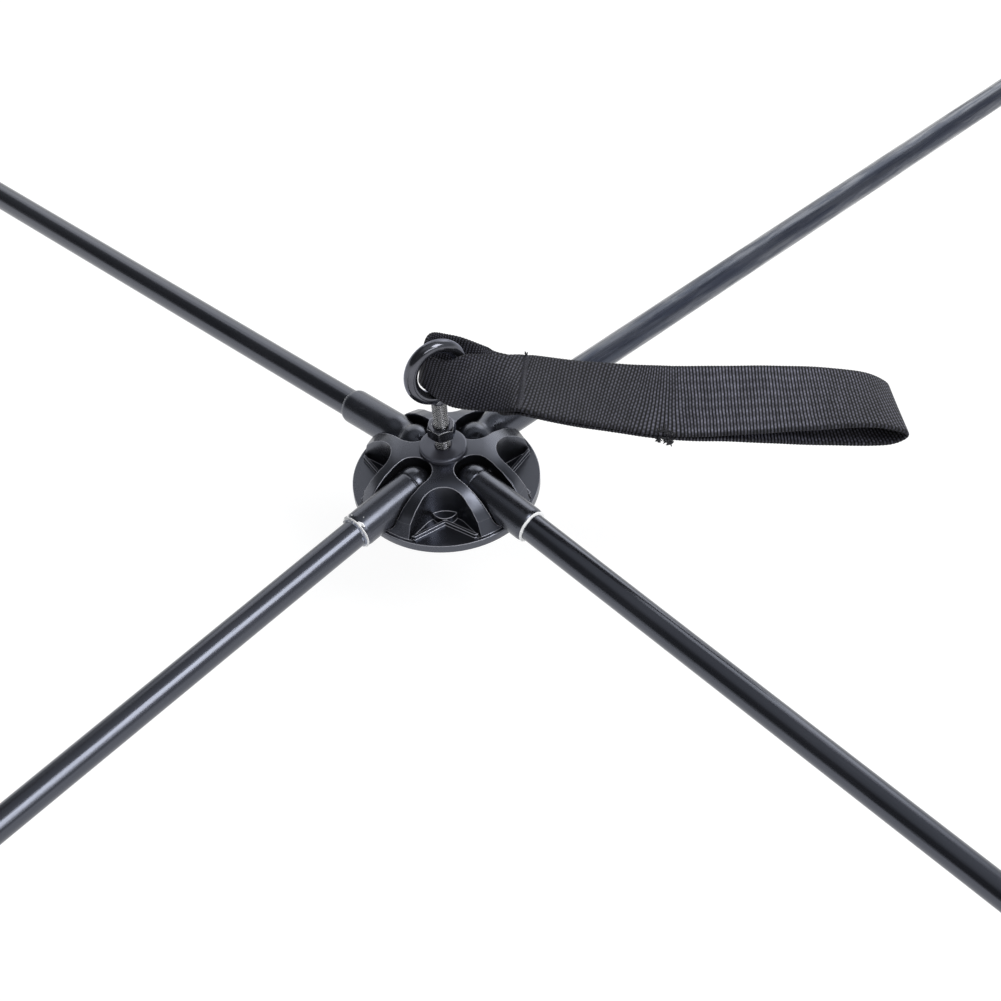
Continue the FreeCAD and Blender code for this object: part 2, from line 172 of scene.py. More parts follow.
class Nodes:
    """A node tree. Nodes come from node(), and numbers between them are written as arithmetic."""

    def __init__(self, tree):
        self.tree = tree
        tree.nodes.clear()

    def node(self, kind, settings=None, sockets=None, out=0):
        """Adds a node: its settings first, then the values or links of its sockets. Returns one output."""
        made = self.tree.nodes.new("ShaderNode" + kind)
        for key, value in (settings or {}).items():
            setattr(made, key, value)
        for key, value in (sockets or {}).items():
            if isinstance(value, Number):
                self.tree.links.new(value.socket, made.inputs[key])
            else:
                made.inputs[key].default_value = value
        return Number(self, made.outputs[out])

    def math(self, operation, *values):
        return self.node("Math", {"operation": operation}, dict(enumerate(values)))

    def vector(self, operation, *values):
        return self.node("VectorMath", {"operation": operation}, dict(enumerate(values)))

    def clamp(self, value):
        return self.node("Clamp", None, {"Value": value})

    def step(self, value, low, high):
        """0 below low, 1 above high, smooth between; low may be the larger."""
        return self.node("MapRange", {"interpolation_type": "SMOOTHSTEP"},
                         {"Value": value, "From Min": low, "From Max": high})

    def noise(self, place, scale, detail=3.0, rough=0.55):
        return self.node("TexNoise", {"noise_dimensions": "3D"},
                         {"Vector": place, "Scale": scale, "Detail": detail, "Roughness": rough})

    def specks(self, place, scale, low, high):
        """Small round marks scattered evenly: distance to the nearest of random points."""
        near = self.node("TexVoronoi", {"feature": "F1"}, {"Vector": place, "Scale": scale})
        return self.step(near, high, low)

    def mix(self, factor, first, second):
        return self.node("Mix", {"data_type": "RGBA"}, {"Factor": factor, 6: first, 7: second}, out=2)

    def mix_vector(self, factor, first, second):
        return self.node("Mix", {"data_type": "VECTOR"}, {"Factor": factor, 4: first, 5: second}, out=1)

    def place(self):
        return self.node("TexCoord", out="Object")

    def facing(self):
        return self.node("NewGeometry", out="Normal")

    def combine(self, x, y, z):
        return self.node("CombineXYZ", None, {"X": x, "Y": y, "Z": z})

    def parts(self, vector):
        return [self.node("SeparateXYZ", None, {0: vector}, out=axis) for axis in "XYZ"]

    def dot(self, vector, axis):
        return self.node("VectorMath", {"operation": "DOT_PRODUCT"}, {0: vector, 1: axis}, out="Value")


class Finish(Nodes):
    """One material: a shader with its fixed values, and what set() links into it."""

    def __init__(self, name, shader="BsdfPrincipled", **fixed):
        self.material = bpy.data.materials.new(name)
        self.material.use_nodes = True
        super().__init__(self.material.node_tree)
        sockets = {key.replace("_", " "): value for key, value in fixed.items()}
        self.shader = self.node(shader, None, sockets).socket.node
        self.end = self.node_surface(Number(self, self.shader.outputs[0]))

    def node_surface(self, shader):
        end = self.tree.nodes.new("ShaderNodeOutputMaterial")
        self.tree.links.new(shader.socket, end.inputs["Surface"])
        return end

    def bump(self, height, distance, strength=1.0, normal=None):
        sockets = {"Height": height, "Distance": distance, "Strength": strength}
        if normal:
            sockets["Normal"] = normal
        return self.node("Bump", None, sockets)

    def edges(self, radius):
        """Normal rounded over the edges, and how much it turns there, 0 to 1."""
        rounded = self.node("Bevel", {"samples": 8}, {"Radius": radius * MM})
        return rounded, self.step(self.dot(rounded, self.facing()), 0.995, 0.86)

    def set(self, **links):
        for key, value in links.items():
            self.tree.links.new(value.socket, self.shader.inputs[key.replace("_", " ")])
        return self.material


def grey(level, blue=1.0, red=1.0):
    """Linear colour from a level of 0 to 255 as seen, with a little more blue or red."""
    value = (level / 255.0) ** 2.2
    return (value * red, value, value * blue, 1.0)


# Finishes

GLOSSY_BLACK = {"IOR": 1.6, "Specular_IOR_Level": 0.95, "Specular_Tint": (0.78, 0.83, 1.0, 1.0)}
SCRAPED_BLACK = {"IOR": 1.6, "Specular_IOR_Level": 0.55, "Specular_Tint": (0.60, 0.73, 1.0, 1.0),
                 "Coat_IOR": 1.5, "Coat_Roughness": 0.2}


def domed(f, rounded):
    """The hub's normal: wide rounds beside the channels, the stepped shoulder drawn round, the top crowned."""
    x, y, z = f.parts(f.place())
    quarter = f.math("COSINE", f.math("ARCTAN2", y, x) * 4.0)
    wide = f.node("Bevel", {"samples": 8}, {"Radius": WIDE_ROUND * MM})
    rounded = f.mix_vector(f.step(quarter, -0.1, -0.6), rounded, wide)
    out = f.math("MAXIMUM", f.math("SQRT", x * x + y * y), 0.0001)
    flat = DOME_FLAT_RADIUS * MM
    crown = f.math("MINIMUM", out, flat) / (CROWN_RADIUS * MM)
    lean = crown + f.math("MAXIMUM", out - flat, 0.0) / (SHOULDER_RADIUS * MM)
    lean = f.math("MINIMUM", lean, STEEPEST_LEAN)
    rise = f.math("SQRT", 1.0 - lean * lean)
    ideal = f.combine(x / out * lean, y / out * lean, rise)
    above = f.step(z, (FLANGE_THICKNESS + 0.2) * MM, (FLANGE_THICKNESS + 0.6) * MM)
    near = f.step(f.dot(rounded, ideal), 0.925, 0.97) * above
    return f.vector("NORMALIZE", f.mix_vector(near, rounded, ideal))


def moulded_plastic(name, dark, light, shine, edge, is_hub=False):
    """Black moulded nylon: faint flow marks, fine grain, a little dust, edges a little lighter all round, and a
    painted highlight on the edges that face up.
    """
    f = Finish(name, **GLOSSY_BLACK)
    place = f.place()
    flow = f.noise(place, 42.0, 4.0)
    grain = f.noise(place, 2600.0, 2.0)
    cloud = f.noise(place, 150.0, 3.0, 0.6)
    rounded, worn = f.edges(edge)
    upward = f.step(f.dot(f.facing(), (0, 0, 1)), 0.3, 0.9)
    dust = f.specks(place, 620.0, 0.05, 0.12) * f.step(cloud, 0.5, 0.62) * upward
    colour = f.mix(f.clamp(flow * 0.6 + cloud * 0.4), dark, light)
    # Painted highlight: edges whose rounded normal faces up are painted bright, as if they caught the lamps.
    crest = f.step(f.dot(rounded, f.facing()), 0.985, 0.94) * f.step(f.dot(rounded, (0, 0, 1)), 0.1, 0.5)
    colour = f.mix(worn * 0.08 + crest * (0.45 + cloud * 0.55), colour, grey(185, 1.1))
    colour = f.mix(dust * 0.3, colour, grey(95))
    roughness = shine + (flow - 0.5) * 0.14 + grain * 0.05 - worn * 0.08 + dust * 0.15
    normal = domed(f, rounded) if is_hub else rounded
    normal = f.bump(grain * 0.6 + cloud * 0.9, 0.00005, 0.35, normal)
    return f.set(Base_Color=colour, Roughness=f.clamp(roughness), Normal=normal)


def along_arm(f, name):
    """The place along an arm's axis from its pivot, and across it, in metres."""
    pivot, axis, side, up = arm_frame(name)
    here = f.vector("SUBTRACT", f.place(), pivot * MM)
    return f.dot(here, axis), f.dot(here, side), f.dot(here, up)


def socket_finish(name, smear):
    """Glossy black moulding with fine draw marks, scuffs, and on one arm smeared adhesive near the mouth."""
    f = Finish(name + " socket plastic", **GLOSSY_BLACK)
    along, across, up = along_arm(f, name)
    place = f.combine(along, across, up)
    drawn = f.noise(f.combine(along * 0.12, across, up), 1500.0, 3.0)
    cloud = f.noise(place, 170.0, 4.0, 0.6)
    fine = f.noise(place, 2400.0, 2.0)
    scuff = f.step(f.noise(f.combine(along * 0.5, across * 1.6, up * 1.6), 420.0, 5.0, 0.68), 0.58, 0.74)
    near_mouth = f.step(along, 0.014, 0.030)
    rounded, worn = f.edges(0.25)
    colour = f.mix(f.clamp(cloud * 0.7 + drawn * 0.3), grey(20, 1.16), grey(32, 1.16))
    scuffed = scuff * (0.06 + near_mouth * (0.30 if smear else 0.08))
    colour = f.mix(scuffed, colour, grey(105, 1.1))
    colour = f.mix(worn * 0.2, colour, grey(80, 1.1))
    roughness = 0.25 + (cloud - 0.5) * 0.16 + drawn * 0.04 + scuff * 0.10
    normal = f.bump(drawn * 0.6 + fine * 0.3 + scuff * 0.4, 0.00005, 0.4, rounded)
    return f.set(Base_Color=colour, Roughness=f.clamp(roughness), Normal=normal)


def pole_finish(name, streak, scraped=0.0):
    """Painted glass-fibre tube: fibres and paint runs along it, nicks, and gloss scraped off in long marks."""
    f = Finish(name + " pole paint", **(SCRAPED_BLACK if scraped else GLOSSY_BLACK))
    along, across, up = along_arm(f, name)
    runs = f.noise(f.combine(along * 0.035, across, up), 620.0, 4.0, 0.6)
    fibres = f.noise(f.combine(along * 0.02, across, up), 2600.0, 2.0, 0.6)
    bloom = f.noise(f.combine(along * 0.3, across, up), 60.0, 4.0, 0.6)
    nicks = f.step(f.noise(f.combine(along * 0.45, across, up), 900.0, 4.0, 0.7), 0.68, 0.76)
    blue = 1.2 + 0.5 * scraped
    colour = f.mix(f.clamp(runs * 0.55 + fibres * 0.45), grey(14, blue), grey(28 + 14 * streak, blue))
    colour = f.mix(f.step(bloom, 0.5, 0.75) * 0.12, colour, grey(70, 1.1))
    colour = f.mix(nicks * 0.2, colour, grey(90, 1.08))
    roughness = 0.20 + (runs - 0.4) * (0.10 + 0.5 * streak) + nicks * 0.12
    normal = f.bump(fibres * 0.8 + runs * (0.4 + 1.2 * streak), 0.00006, 0.4)
    if scraped:
        marks = f.noise(f.combine(along * 0.09, across, up), 360.0, 4.0, 0.66)
        f.set(Coat_Weight=1.0 - f.step(marks, 0.40, 0.58) * scraped)
    return f.set(Base_Color=colour, Roughness=f.clamp(f.math("MAXIMUM", roughness, 0.12)), Normal=normal)


def blackened_steel(name, level, shine):
    """Black oxide on steel, rubbed brighter along its edges."""
    f = Finish(name, Metallic=0.92, Specular_Tint=(0.86, 0.88, 1.0, 1.0))
    place = f.place()
    cloud = f.noise(place, 260.0, 4.0, 0.6)
    fine = f.noise(place, 3200.0, 2.0)
    rounded, worn = f.edges(0.35)
    rubbed = f.clamp(worn * (0.6 + cloud * 1.1))
    colour = f.mix(cloud, grey(level - 16, 1.16, 0.98), grey(level + 16, 1.14, 0.98))
    colour = f.mix(rubbed * 0.9, colour, grey(240, 1.0))
    roughness = shine + (cloud - 0.5) * 0.10 + fine * 0.04
    normal = f.bump(fine * 0.3 + cloud * 0.3, 0.00002, 0.3, rounded)
    return f.set(Base_Color=colour, Roughness=f.clamp(roughness), Normal=normal)


def plated_steel(name):
    """Bright zinc on the pins, the screws and the nut underneath, with a fine grain."""
    f = Finish(name, Metallic=1.0)
    place = f.place()
    cloud = f.noise(place, 300.0, 4.0)
    fine = f.noise(place, 2800.0, 2.0)
    rounded = f.edges(0.2)[0]
    colour = f.mix(cloud, grey(140, 1.03), grey(178, 1.05))
    roughness = 0.3 + cloud * 0.15 + fine * 0.08
    return f.set(Base_Color=colour, Roughness=roughness, Normal=f.bump(fine, 0.00004, 0.4, rounded))


def grey_washer(name):
    """Dark grey satin washer, turned faintly in circles round the bolt."""
    f = Finish(name, **GLOSSY_BLACK)
    place = f.place()
    x, y, z = f.parts(place)
    out = f.math("SQRT", x * x + y * y)
    circles = f.noise(f.combine(out, z, 0.0), 2400.0, 3.0)
    cloud = f.noise(place, 220.0, 4.0)
    rounded, worn = f.edges(0.25)
    colour = f.mix(f.clamp(cloud * 0.7 + circles * 0.3), grey(50, 1.22), grey(66, 1.22))
    colour = f.mix(worn * 0.2, colour, grey(80, 1.08))
    roughness = 0.30 + (cloud - 0.5) * 0.14
    return f.set(Base_Color=colour, Roughness=roughness, Normal=f.bump(circles, 0.00004, 0.35, rounded))


def cured_adhesive(name, clear):
    """White cured adhesive: crisp and even where clear is 0, thin and bluish in places towards 1."""
    f = Finish(name, Specular_IOR_Level=0.7)
    place = f.place()
    lumps = f.noise(place, 900.0, 4.0, 0.6)
    thin = f.step(f.noise(place, 700.0, 4.0, 0.6), 0.30, 0.52)
    colour = f.mix(lumps, grey(246, 1.0), grey(255, 1.0))
    colour = f.mix(thin * clear, colour, grey(118, 1.42, 0.86))
    roughness = 0.22 + lumps * 0.2
    return f.set(Base_Color=colour, Roughness=roughness, Normal=f.bump(lumps, 0.00010, 0.5))


def adhesive_line(name, way, width):
    """Adhesive left in a thin line round a back mouth: white on the side towards way, dark grey on the rest."""
    f = Finish(name + " adhesive line", Specular_IOR_Level=0.5)
    along, across, up = along_arm(f, name)
    angle = math.radians(way)
    shown = (across * math.cos(angle) + up * math.sin(angle)) / (POLE_RADIUS * MM)
    shown = shown + (f.noise(f.combine(across, up, along), 420.0, 3.0) - 0.5) * 0.5
    colour = f.mix(f.step(shown, 1.0 - width, 1.12 - width), grey(30, 1.1), grey(250))
    return f.set(Base_Color=colour, Roughness=0.25 + f.noise(f.place(), 900.0) * 0.2)


def woven_webbing(name):
    """Charcoal webbing: ribs across it with painted shade in the gaps between them, warp threads lapping over
    them in turn, and painted glints on the ribs; flatter where it is sewn, with weaker painted shade there.
    """
    f = Finish(name, Specular_IOR_Level=0.2)
    u, v = f.parts(f.node("UVMap", {"uv_map": "weave"}))[:2]
    slack = f.parts(f.node("UVMap", {"uv_map": "slack"}))[0]
    wander = f.noise(f.combine(u, v, 0.0), 110.0, 3.0)
    turn = (u + (wander - 0.5) * 0.0006) / (RIB_PITCH * MM)
    row = f.math("FLOOR", turn)
    rib = f.step(f.math("SINE", f.math("FRACT", turn) * math.pi), 0.10, 0.98)
    uneven = f.noise(f.combine(row * 0.37, v * 60.0, 0.0), 1.0, 3.0, 0.7)
    lap = f.math("COSINE", (v / (WARP_PITCH * MM) + row * 0.5 + uneven * 0.6) * (2 * math.pi)) * 0.5 + 0.5
    sway = f.noise(f.combine(u, v * 0.3, 0.3), 60.0, 2.0)
    weft = f.math("SINE", v * (2 * math.pi / (WEFT_SWAY * MM)) + sway * 9.0) * 0.5 + 0.5
    stray = f.noise(f.combine(u * 0.7, v, 0.0), 3000.0, 3.0, 0.75)
    edge = f.step(f.math("ABSOLUTE", v), SELVAGE[0] * MM, SELVAGE[1] * MM)
    # The ribs are painted light on their crests and dark in the gaps between them: partly the weave's pattern,
    # partly painted shade in the grooves.
    pressed = rib * (0.42 + lap * 0.58)
    loose = rib * (0.80 + weft * 0.20) * (0.86 + lap * 0.14)
    cloth = (pressed + (loose - pressed) * slack) * (1.0 - edge * 0.2)
    # Painted shade: the contrast between crests and grooves is stronger where the strap is loose, standing in
    # for light that grazes that part.
    painted_groove_shade_gain = 0.52 + slack * 0.63
    level = 0.315 + slack * 0.015 + (cloth - 0.52) * painted_groove_shade_gain
    level = level + (stray - 0.5) * 0.70 + (uneven - 0.5) * (0.22 + slack * 0.3)
    colour = f.mix(f.clamp(level) ** 2.0, grey(10, 1.3), grey(134, 1.3))
    glint = f.step(f.noise(f.combine(u, v, 0.0), 1500.0, 2.0), 0.70, 0.80)
    colour = f.mix(glint * rib * 0.45, colour, grey(165, 1.15))
    roughness = 0.60 + stray * 0.2 - rib * 0.12
    normal = f.bump(cloth * (0.55 + slack * 0.45) + stray * 0.15, 0.00022, 0.8)
    return f.set(Base_Color=colour, Roughness=f.clamp(roughness), Normal=normal)


def sewing_thread(name, dark, light):
    """Bonded black thread with its twist."""
    f = Finish(name, Specular_IOR_Level=0.4, Sheen_Weight=0.05)
    ply = f.noise(f.place(), 4200.0, 2.0)
    colour = f.mix(f.step(ply, 0.3, 0.7), dark, light)
    return f.set(Base_Color=colour, Roughness=0.5 + ply * 0.2, Normal=f.bump(ply, 0.00008, 0.6))


HUB = moulded_plastic("hub nylon", grey(20, 1.16), grey(32, 1.16), 0.26, 0.55, is_hub=True)
BASE = moulded_plastic("base plate nylon", grey(16, 1.1), grey(28, 1.1), 0.40, 0.3)
CAP = moulded_plastic("pole cap nylon", grey(14, 1.1), grey(26, 1.1), 0.36, 0.3)
BLACK_STEEL = blackened_steel("black oxide", 104, 0.16)
EYE_STEEL = blackened_steel("black oxide eye", 90, 0.12)
ZINC = plated_steel("bright zinc")
WASHER = grey_washer("washer grey")
WEBBING = woven_webbing("webbing")
THREAD = sewing_thread("sewing thread", grey(26, 1.25), grey(84, 1.25))
FRAYED = sewing_thread("frayed thread", grey(12, 1.2), grey(66, 1.2))
ADHESIVE = cured_adhesive("adhesive", 0.0)
FILM = cured_adhesive("adhesive film", 0.95)

FINISHES = {
    "hub_body": HUB,
    "hub_base_plate": BASE,
    "base_screws": ZINC,
    "eye_bolt": EYE_STEEL,
    "clamp_nut": BLACK_STEEL,
    "clamp_washer": WASHER,
    "lower_washer": ZINC,
    "lock_nut": ZINC,
    "pull_strap": WEBBING,
    "strap_stitching": THREAD,
}
for arm in ARMS:
    FINISHES[arm + "_pin"] = ZINC
    FINISHES[arm + "_socket"] = socket_finish(arm, smear=arm == "front_left")
    FINISHES[arm + "_pole"] = pole_finish(arm, 1.0, 0.9) if arm == "back_right" else pole_finish(arm, 0.2)
    FINISHES[arm + "_adhesive"] = ADHESIVE
    FINISHES[arm + "_pole_cap"] = CAP
FINISHES["back_right_adhesive"] = adhesive_line("back_right", 120, 0.2)
FINISHES["back_left_adhesive"] = adhesive_line("back_left", 60, 0.2)

for node, material in FINISHES.items():
    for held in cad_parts[node].material_slots:
        held.link = "OBJECT"
        held.material = material


# Ways to make pieces

def solid_piece(name, points, faces, materials, body=None, crease=None):
    """A piece from points in millimetres and faces, riding on a body; edges sharper than crease stay sharp."""
    mesh = bpy.data.meshes.new(name)
    mesh.from_pydata([tuple(c * MM for c in p) for p in points], [], faces)
    mesh.update()
    for polygon in mesh.polygons:
        polygon.use_smooth = True
    if crease:
        mesh.set_sharp_from_angle(angle=math.radians(crease))
    piece = bpy.data.objects.new(name, mesh)
    bpy.context.scene.collection.objects.link(piece)
    for material in materials:
        mesh.materials.append(material)
    if body:
        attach(piece, body)
    return piece


def skin(count, ring, closed=False, flip=False):
    """Faces over count rings of points, closed round on themselves or with flat ends."""
    faces = []
    for k in range(count if closed else count - 1):
        for j in range(ring):
            a, b = k * ring + j, k * ring + (j + 1) % ring
            c, d = (b + ring) % (count * ring), (a + ring) % (count * ring)
            faces.append((a, d, c, b) if flip else (a, b, c, d))
    if not closed:
        faces.append(tuple(reversed(range(ring))))
        faces.append(tuple(range((count - 1) * ring, count * ring)))
    return faces


def softened(outline):
    """Corners that carry a third number become small rounds of about that size."""
    result = []
    for k, corner in enumerate(outline):
        here = Vector(corner[:2])
        if len(corner) < 3:
            result.append(here)
            continue
        before, after = [Vector(outline[(k + way) % len(outline)][:2]) - here for way in (-1, 1)]
        first, last = [here + leg.normalized() * min(corner[2], leg.length * 0.49) for leg in (before, after)]
        for step in range(5):
            t = step / 4
            result.append(first * (1 - t) ** 2 + here * (2 * t * (1 - t)) + last * t ** 2)
    return result


def turned(outline, place, sides=96, closed=False):
    """Points and faces of a turned form: the outline gives along and radius in a frame of origin and axes."""
    origin, axis, side, up = place
    points = []
    for along, radius in outline:
        for j in range(sides):
            angle = 2 * math.pi * j / sides
            points.append(origin + axis * along + (side * math.cos(angle) + up * math.sin(angle)) * radius)
    return points, skin(len(outline), sides, closed)


def tube(path, radius, sides=6):
    """Points and faces of a closed tube along a path; radius may be a list, one for each point."""
    path = [Vector(p) for p in path]
    radii = radius if isinstance(radius, list) else [radius] * len(path)
    points = []
    second = Vector((0.13, 0.21, 0.97))
    for k, centre in enumerate(path):
        heading = (path[min(k + 1, len(path) - 1)] - path[max(k - 1, 0)]).normalized()
        first = heading.cross(second)
        if first.length < 0.05:
            first = heading.cross(Vector((1, 0, 0)))
        first.normalize()
        second = first.cross(heading)
        for j in range(sides):
            angle = 2 * math.pi * j / sides
            points.append(centre + (first * math.cos(angle) + second * math.sin(angle)) * radii[k])
    return points, skin(len(path), sides, flip=True)


def joined(parts):
    """Several (points, faces) as one."""
    points, faces = [], []
    for more, sides in parts:
        start = len(points)
        points += more
        faces += [tuple(start + i for i in face) for face in sides]
    return points, faces


def drilled(piece, centre, way, radius, half):
    """Cuts a round hole through a piece."""
    side = way.orthogonal().normalized()
    outline = [(-half, 0.02), (-half, radius), (half, radius), (half, 0.02)]
    points, faces = turned([Vector(p) for p in outline], (centre, way, side, way.cross(side)), 48)
    drill = solid_piece("drill", points, faces, [])
    cut = piece.modifiers.new("bore", "BOOLEAN")
    cut.operation = "DIFFERENCE"
    cut.solver = "EXACT"
    cut.object = drill
    whole = piece.evaluated_get(bpy.context.evaluated_depsgraph_get())
    mesh = bpy.data.meshes.new_from_object(whole)
    piece.modifiers.clear()
    piece.data = mesh
    mesh.set_sharp_from_angle(angle=math.radians(35))
    bpy.data.objects.remove(drill)


UPRIGHT = (Vector((0, 0, 0)), Vector((0, 0, 1)), Vector((1, 0, 0)), Vector((0, 1, 0)))


# Smooth pieces of the hub and its arms

def smooth_socket(name):
    """Ball knuckle and barrel: a fine joint groove on the front ones, a tapered neck on the back ones."""
    place = arm_frame(name)
    mouth = ARMS[name][2]
    front = name.startswith("front")
    last = math.acos(1.6 / KNUCKLE_RADIUS) if front else math.asin(NECK_RADIUS / KNUCKLE_RADIUS)
    outline = [(-KNUCKLE_RADIUS, 0.02)]
    for step in range(1, 29):
        angle = math.pi - (math.pi - last) * step / 28
        outline.append((KNUCKLE_RADIUS * math.cos(angle), KNUCKLE_RADIUS * math.sin(angle)))
    if front:
        outline += [(1.85, 6.78, 0.12), (2.1, 6.78, 0.12), (2.4, SOCKET_RADIUS, 0.15)]
    else:
        outline += [(6.2, NECK_RADIUS, 1.6), (11.0, SOCKET_RADIUS, 1.6)]
    outline += [
        (mouth - MOUTH_TAPER, SOCKET_RADIUS, 0.6), (mouth, MOUTH_RADIUS, 0.25),
        (mouth, POLE_BORE), (mouth - POLE_INSERTION, POLE_BORE), (mouth - POLE_INSERTION, 0.02)]
    points, faces = turned(softened(outline), place)
    piece = solid_piece(name + "_smooth_socket", points, faces, [FINISHES[name + "_socket"]], crease=40)
    drilled(piece, place[0], place[2], PIN_BORE, 9.0)
    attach(piece, name + "_arm")
    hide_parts(name + "_socket")


def smooth_cap(name):
    """Moulded end cap with a rounded nose and a softened mouth."""
    mouth = CAP_NOSE - CAP_LENGTH
    outline = softened([
        (mouth, POLE_BORE, 0.2), (mouth, CAP_RADIUS, 0.5), (CAP_NOSE, CAP_RADIUS, 3.0), (CAP_NOSE, 0.02),
        (CAP_NOSE - CAP_END, 0.02), (CAP_NOSE - CAP_END, POLE_BORE)])
    points, faces = turned(outline, arm_frame(name), closed=True)
    piece = solid_piece(name + "_rounded_cap", points, faces, [CAP], name + "_arm", crease=40)
    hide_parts(name + "_pole_cap")


def ring_bead():
    """Crisp white bead of adhesive round the front right pole at the socket's mouth."""
    origin, axis, side, up = arm_frame("front_right")
    mouth = ARMS["front_right"][2]
    around, steps = 120, 10
    points = []
    for i in range(steps + 1):
        for j in range(around):
            angle = 2 * math.pi * j / around
            wave = (0.10 * math.sin(3 * angle + 1.0) + 0.06 * math.sin(7 * angle)
                    + 0.04 * math.sin(13 * angle + 2.0))
            along = mouth - 0.35 + (1.0 + wave) * i / steps
            reach = POLE_RADIUS - 0.1 + (1.24 + wave * 0.6) * math.sin(math.pi * i / steps) ** 0.45
            points.append(origin + axis * along + (side * math.cos(angle) + up * math.sin(angle)) * reach)
    piece = solid_piece("front_right_adhesive_ring", points, skin(steps + 1, around), [ADHESIVE],
                        "front_right_arm")
    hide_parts("front_right_adhesive")


def smeared_bead():
    """Squeezed-out adhesive at the front left mouth: a white crest, a thin film on the pole, and smears."""
    origin, axis, side, up = arm_frame("front_left")
    mouth = ARMS["front_left"][2]
    rng = random.Random(5)
    waves = [(rng.randint(1, 8), rng.uniform(0, 6.28), rng.uniform(0.4, 1.0)) for _ in range(6)]
    # each smear: angle round the pole, distance out of the mouth, height, width as an angle, length
    marks = [(2.55, -0.6, 0.50, 0.30, 0.6), (2.02, -1.4, 0.24, 0.10, 0.3), (1.02, -1.0, 0.40, 0.16, 0.4),
             (1.20, -0.5, 0.40, 0.14, 0.4), (1.32, -3.3, 0.20, 0.05, 0.5), (0.2, 1.6, 0.35, 0.18, 0.4),
             (2.60, 0.9, 0.35, 0.30, 0.7), (5.2, 0.8, 0.4, 0.4, 0.6), (4.1, -0.4, 0.3, 0.3, 0.5)]
    around, steps = 220, 72
    points, heights = [], []
    for i in range(steps + 1):
        s = -4.2 + 7.0 * i / steps
        for j in range(around):
            angle = 2 * math.pi * j / around
            wander = sum(size * math.sin(n * angle + shift) for n, shift, size in waves) / 3.0
            outer = 0.95 + 0.35 * math.exp(-((angle - 2.5) / 0.5) ** 2) + 0.15 * wander
            socket = MOUTH_RADIUS + (SOCKET_RADIUS - MOUTH_RADIUS) * min(1.0, max(0.0, -s / MOUTH_TAPER))
            surface = socket
            if s >= 0.05:
                surface = POLE_RADIUS + (socket - POLE_RADIUS) * math.exp(-((s - 0.05) / 0.32) ** 2)
            crest = (0.42 + 0.08 * wander) * math.exp(-((s - 0.16) / 0.34) ** 2)
            rise = crest + (0.46 + 0.06 * wander) * math.exp(-((s - outer) / 0.20) ** 2)
            if 0.1 < s < outer:
                rise += 0.24
            for spot, along, size, wide, long in marks:
                gap = (angle - spot + math.pi) % (2 * math.pi) - math.pi
                rise += size * math.exp(-(gap / wide) ** 2 - ((s - along) / long) ** 2)
            heights.append(crest if s > 0.2 else 1.0)
            points.append(origin + axis * (mouth + s)
                          + (side * math.cos(angle) + up * math.sin(angle)) * (surface - 0.16 + rise))
    piece = solid_piece("front_left_adhesive_bead", points, skin(steps + 1, around), [ADHESIVE, FILM],
                        "front_left_arm")
    for polygon in piece.data.polygons:
        if max(heights[i] for i in polygon.vertices) < 0.20:
            polygon.material_index = 1
    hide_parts("front_left_adhesive")


def rounded_washer():
    """Flat washer on top of the hub with a well rounded upper edge."""
    top = HUB_HEIGHT + WASHER_THICKNESS
    outline = softened([
        (HUB_HEIGHT, WASHER_HOLE), (HUB_HEIGHT, WASHER_RADIUS, 0.2),
        (top, WASHER_RADIUS, 0.9), (top, WASHER_HOLE, 0.3)])
    points, faces = turned(outline, UPRIGHT, 144, closed=True)
    piece = solid_piece("rounded_clamp_washer", points, faces, [WASHER], "hub", crease=40)
    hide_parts("clamp_washer")


def chamfered_nut():
    """Hexagon nut whose corners are turned off at both faces, with a countersunk bore."""
    bore, sides, half = BOLT_RADIUS + 0.02, 144, NUT_FLATS / 2
    rows = [(0.45, bore), (0.0, bore + 0.45)]
    rows += [(step * 0.12, half - 0.15 + step * 0.2) for step in range(6)]
    rows += [(NUT_HEIGHT - z, limit) for z, limit in reversed(rows)]
    points = []
    for z, limit in rows:
        for j in range(sides):
            angle = 360.0 * j / sides
            edge = half / math.cos(math.radians(angle % 60.0 - 30.0))
            radius = min(limit, edge)
            way = math.radians(angle + NUT_TURN)
            points.append((radius * math.cos(way), radius * math.sin(way), NUT_FOOT + z))
    piece = solid_piece("chamfered_clamp_nut", points, skin(len(rows), sides, closed=True), [BLACK_STEEL],
                        "hub", crease=18)
    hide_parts("clamp_nut")


def eye_point(across, up, forward=0.0):
    """Point from the eye's centre: across in its own plane, up, and forward out of that plane."""
    turn = math.radians(EYE_TURN)
    return Vector((across * math.cos(turn) + forward * math.sin(turn),
                   across * math.sin(turn) - forward * math.cos(turn), EYE_HEIGHT + up))


